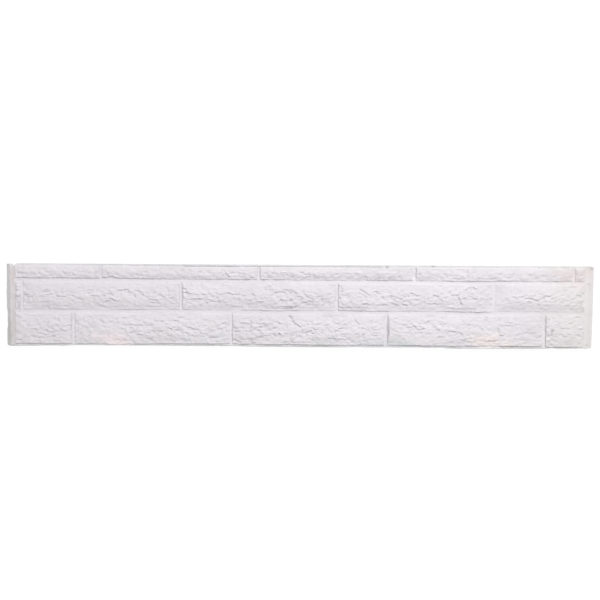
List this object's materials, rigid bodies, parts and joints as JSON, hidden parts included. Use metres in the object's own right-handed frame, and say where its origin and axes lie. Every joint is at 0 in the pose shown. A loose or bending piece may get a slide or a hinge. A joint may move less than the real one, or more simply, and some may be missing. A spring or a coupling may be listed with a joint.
{
  "type": "concrete fence panel",
  "caption": "Precast concrete plate for a post-and-panel fence, with courses of split-faced stones in running bond, plain end margins and a plain flat back",
  "frame": {"origin": "middle of the flat back, which the plate lies on", "axes": "+X along the plate's length, +Y from the bottom edge to the top edge as it stands in a fence, +Z out of the stone face"},
  "size_m": [1.84, 0.26, 0.048],
  "materials": {
    "concrete": "pale cast concrete, matt, split-stone face and floated back"
  },
  "bodies": {
    "root": {"panel": "concrete"}
  },
  "joints": []
}
